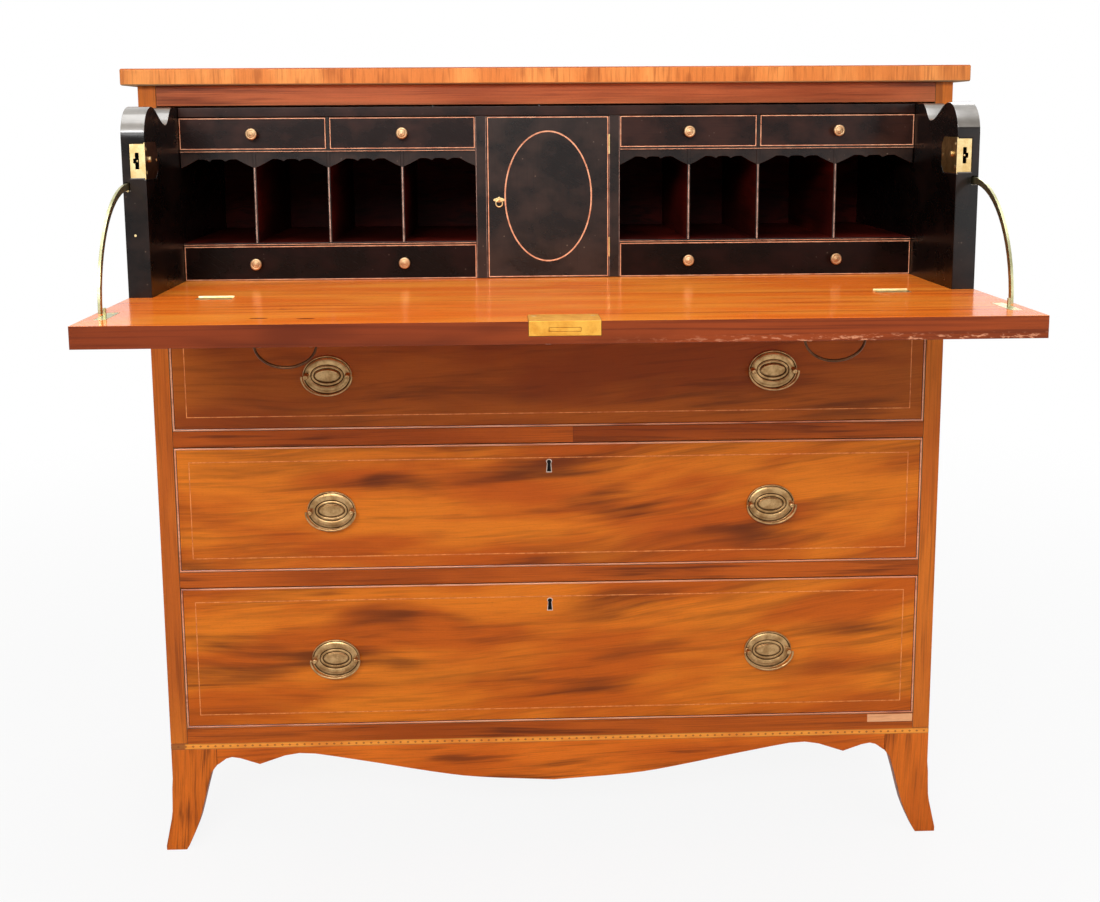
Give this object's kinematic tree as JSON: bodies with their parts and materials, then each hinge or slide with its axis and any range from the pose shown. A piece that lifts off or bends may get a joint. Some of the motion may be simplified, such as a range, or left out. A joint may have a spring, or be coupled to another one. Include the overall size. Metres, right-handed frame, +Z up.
{
  "type": "secretaire cabinet",
  "caption": "mahogany secretaire cabinet with long drawers below a pull-out writing drawer, its fall open on quadrant stays and its ebonised interior fitted with pigeonholes",
  "frame": {"origin": "floor level, under the middle of the whole with the secretaire drawer out and its fall open", "axes": "+X to the cabinet's right as seen from the front, +Y from the front to the back, +Z up"},
  "size_m": [1.1362, 0.9284, 1.109],
  "materials": {
    "flame_veneer": "flame mahogany veneer under a warm polish",
    "rail_veneer": "straight mahogany veneer, polished",
    "side_wood": "plain mahogany, polished",
    "back_wood": "unpolished softwood",
    "drawer_wood": "bare pale drawer lining",
    "writing_veneer": "mahogany under a glossy polish",
    "black_polish": "ebonised and polished",
    "aged_brass": "aged, stamped and cast",
    "bright_brass": "bright, worn",
    "dark_bronze": "darkened",
    "steel": "worn"
  },
  "bodies": {
    "root": {"carcase_top": "flame_veneer", "carcase_side_left": "side_wood", "carcase_side_right": "side_wood", "carcase_back": "back_wood", "top_rail": "rail_veneer", "rail_above_drawer_1": "rail_veneer", "rail_above_drawer_2": "rail_veneer", "rail_above_drawer_3": "rail_veneer", "carcase_bottom": "rail_veneer", "apron": "flame_veneer", "foot_front_left": "flame_veneer", "foot_front_right": "flame_veneer", "foot_back_left": "flame_veneer", "foot_back_right": "flame_veneer"},
    "secretaire_drawer": {"writing_board": "writing_veneer", "secretaire_side_left": "black_polish", "secretaire_side_right": "black_polish", "secretaire_back": "drawer_wood", "interior_top": "black_polish", "pigeonholes_left": "black_polish", "pigeonholes_right": "black_polish", "catch_left": "dark_bronze", "catch_right": "dark_bronze"},
    "fall": {"fall_front": "writing_veneer", "fall_lock": "bright_brass", "stay_left": "aged_brass", "stay_right": "aged_brass", "fall_hinge_left": "aged_brass", "fall_hinge_right": "aged_brass", "fall_left_plate": "aged_brass", "fall_right_plate": "aged_brass"},
    "lock_bolt": {"fall_lock_bolt": "steel"},
    "fall_left_pull": {"fall_left_bail": "aged_brass"},
    "left_catch_button": {"catch_button_left": "aged_brass"},
    "fall_right_pull": {"fall_right_bail": "aged_brass"},
    "right_catch_button": {"catch_button_right": "aged_brass"},
    "door": {"cupboard_door": "black_polish", "door_pull_plate": "aged_brass"},
    "door_ring": {"door_drop": "aged_brass"},
    "lower_drawer_left_body": {"lower_drawer_left": "black_polish"},
    "lower_drawer_right_body": {"lower_drawer_right": "black_polish"},
    "top_drawer_left_inner_body": {"top_drawer_left_inner": "black_polish"},
    "top_drawer_left_outer_body": {"top_drawer_left_outer": "black_polish"},
    "top_drawer_right_inner_body": {"top_drawer_right_inner": "black_polish"},
    "top_drawer_right_outer_body": {"top_drawer_right_outer": "black_polish"},
    "long_drawer_1": {"drawer_1": "flame_veneer", "drawer_1_left_plate": "aged_brass", "drawer_1_right_plate": "aged_brass"},
    "long_drawer_1_left_pull": {"drawer_1_left_bail": "aged_brass"},
    "long_drawer_1_right_pull": {"drawer_1_right_bail": "aged_brass"},
    "long_drawer_2": {"drawer_2": "flame_veneer", "drawer_2_left_plate": "aged_brass", "drawer_2_right_plate": "aged_brass"},
    "long_drawer_2_left_pull": {"drawer_2_left_bail": "aged_brass"},
    "long_drawer_2_right_pull": {"drawer_2_right_bail": "aged_brass"},
    "long_drawer_3": {"drawer_3": "flame_veneer", "drawer_3_left_plate": "aged_brass", "drawer_3_right_plate": "aged_brass"},
    "long_drawer_3_left_pull": {"drawer_3_left_bail": "aged_brass"},
    "long_drawer_3_right_pull": {"drawer_3_right_bail": "aged_brass"}
  },
  "joints": [
    {"name": "secretaire_drawer_slide", "type": "slide", "parent": "root", "child": "secretaire_drawer", "axis": [0, -1, 0], "range_m": [-0.2054, 0]},
    {"name": "fall_hinge", "type": "hinge", "parent": "secretaire_drawer", "child": "fall", "pos_m": [0, -0.23115, 0.8253], "axis": [1, 0, 0], "range_deg": [-90, 0]},
    {"name": "fall_lock_bolt_throw", "type": "slide", "parent": "fall", "child": "lock_bolt", "axis": [0, -1, 0], "range_m": [0, 0.008]},
    {"name": "fall_left_bail_swing", "type": "hinge", "parent": "fall", "child": "fall_left_pull", "pos_m": [-0.31, -0.39115, 0.79125], "axis": [-1, 0, 0], "range_deg": [-90, 60]},
    {"name": "fall_right_bail_swing", "type": "hinge", "parent": "fall", "child": "fall_right_pull", "pos_m": [0.31, -0.39115, 0.79125], "axis": [-1, 0, 0], "range_deg": [-90, 60]},
    {"name": "catch_button_left_press", "type": "slide", "parent": "secretaire_drawer", "child": "left_catch_button", "axis": [-1, 0, 0], "range_m": [0, 0.002], "stiffness_N_per_m": 300, "springref_m": -0.003},
    {"name": "catch_button_right_press", "type": "slide", "parent": "secretaire_drawer", "child": "right_catch_button", "axis": [1, 0, 0], "range_m": [0, 0.002], "stiffness_N_per_m": 300, "springref_m": -0.003},
    {"name": "cupboard_door_hinge", "type": "hinge", "parent": "secretaire_drawer", "child": "door", "pos_m": [0.0797, -0.05675, 0.8253], "axis": [0, 0, 1], "range_deg": [0, 90]},
    {"name": "door_ring_swing", "type": "hinge", "parent": "door", "child": "door_ring", "pos_m": [-0.0697, -0.06065, 0.9318], "axis": [-1, 0, 0], "range_deg": [0, 80]},
    {"name": "lower_drawer_left_slide", "type": "slide", "parent": "secretaire_drawer", "child": "lower_drawer_left_body", "axis": [0, -1, 0], "range_m": [0, 0.165]},
    {"name": "lower_drawer_right_slide", "type": "slide", "parent": "secretaire_drawer", "child": "lower_drawer_right_body", "axis": [0, -1, 0], "range_m": [0, 0.165]},
    {"name": "top_drawer_left_inner_slide", "type": "slide", "parent": "secretaire_drawer", "child": "top_drawer_left_inner_body", "axis": [0, -1, 0], "range_m": [0, 0.165]},
    {"name": "top_drawer_left_outer_slide", "type": "slide", "parent": "secretaire_drawer", "child": "top_drawer_left_outer_body", "axis": [0, -1, 0], "range_m": [0, 0.165]},
    {"name": "top_drawer_right_inner_slide", "type": "slide", "parent": "secretaire_drawer", "child": "top_drawer_right_inner_body", "axis": [0, -1, 0], "range_m": [0, 0.165]},
    {"name": "top_drawer_right_outer_slide", "type": "slide", "parent": "secretaire_drawer", "child": "top_drawer_right_outer_body", "axis": [0, -1, 0], "range_m": [0, 0.165]},
    {"name": "drawer_1_slide", "type": "slide", "parent": "root", "child": "long_drawer_1", "axis": [0, -1, 0], "range_m": [0, 0.28]},
    {"name": "drawer_1_left_bail_swing", "type": "hinge", "parent": "long_drawer_1", "child": "long_drawer_1_left_pull", "pos_m": [-0.31, -0.0598, 0.69155], "axis": [-1, 0, 0], "range_deg": [0, 100]},
    {"name": "drawer_1_right_bail_swing", "type": "hinge", "parent": "long_drawer_1", "child": "long_drawer_1_right_pull", "pos_m": [0.31, -0.0598, 0.69155], "axis": [-1, 0, 0], "range_deg": [0, 100]},
    {"name": "drawer_2_slide", "type": "slide", "parent": "root", "child": "long_drawer_2", "axis": [0, -1, 0], "range_m": [0, 0.28]},
    {"name": "drawer_2_left_bail_swing", "type": "hinge", "parent": "long_drawer_2", "child": "long_drawer_2_left_pull", "pos_m": [-0.31, -0.0598, 0.4988], "axis": [-1, 0, 0], "range_deg": [0, 100]},
    {"name": "drawer_2_right_bail_swing", "type": "hinge", "parent": "long_drawer_2", "child": "long_drawer_2_right_pull", "pos_m": [0.31, -0.0598, 0.4988], "axis": [-1, 0, 0], "range_deg": [0, 100]},
    {"name": "drawer_3_slide", "type": "slide", "parent": "root", "child": "long_drawer_3", "axis": [0, -1, 0], "range_m": [0, 0.28]},
    {"name": "drawer_3_left_bail_swing", "type": "hinge", "parent": "long_drawer_3", "child": "long_drawer_3_left_pull", "pos_m": [-0.31, -0.0598, 0.2813], "axis": [-1, 0, 0], "range_deg": [0, 100]},
    {"name": "drawer_3_right_bail_swing", "type": "hinge", "parent": "long_drawer_3", "child": "long_drawer_3_right_pull", "pos_m": [0.31, -0.0598, 0.2813], "axis": [-1, 0, 0], "range_deg": [0, 100]}
  ]
}
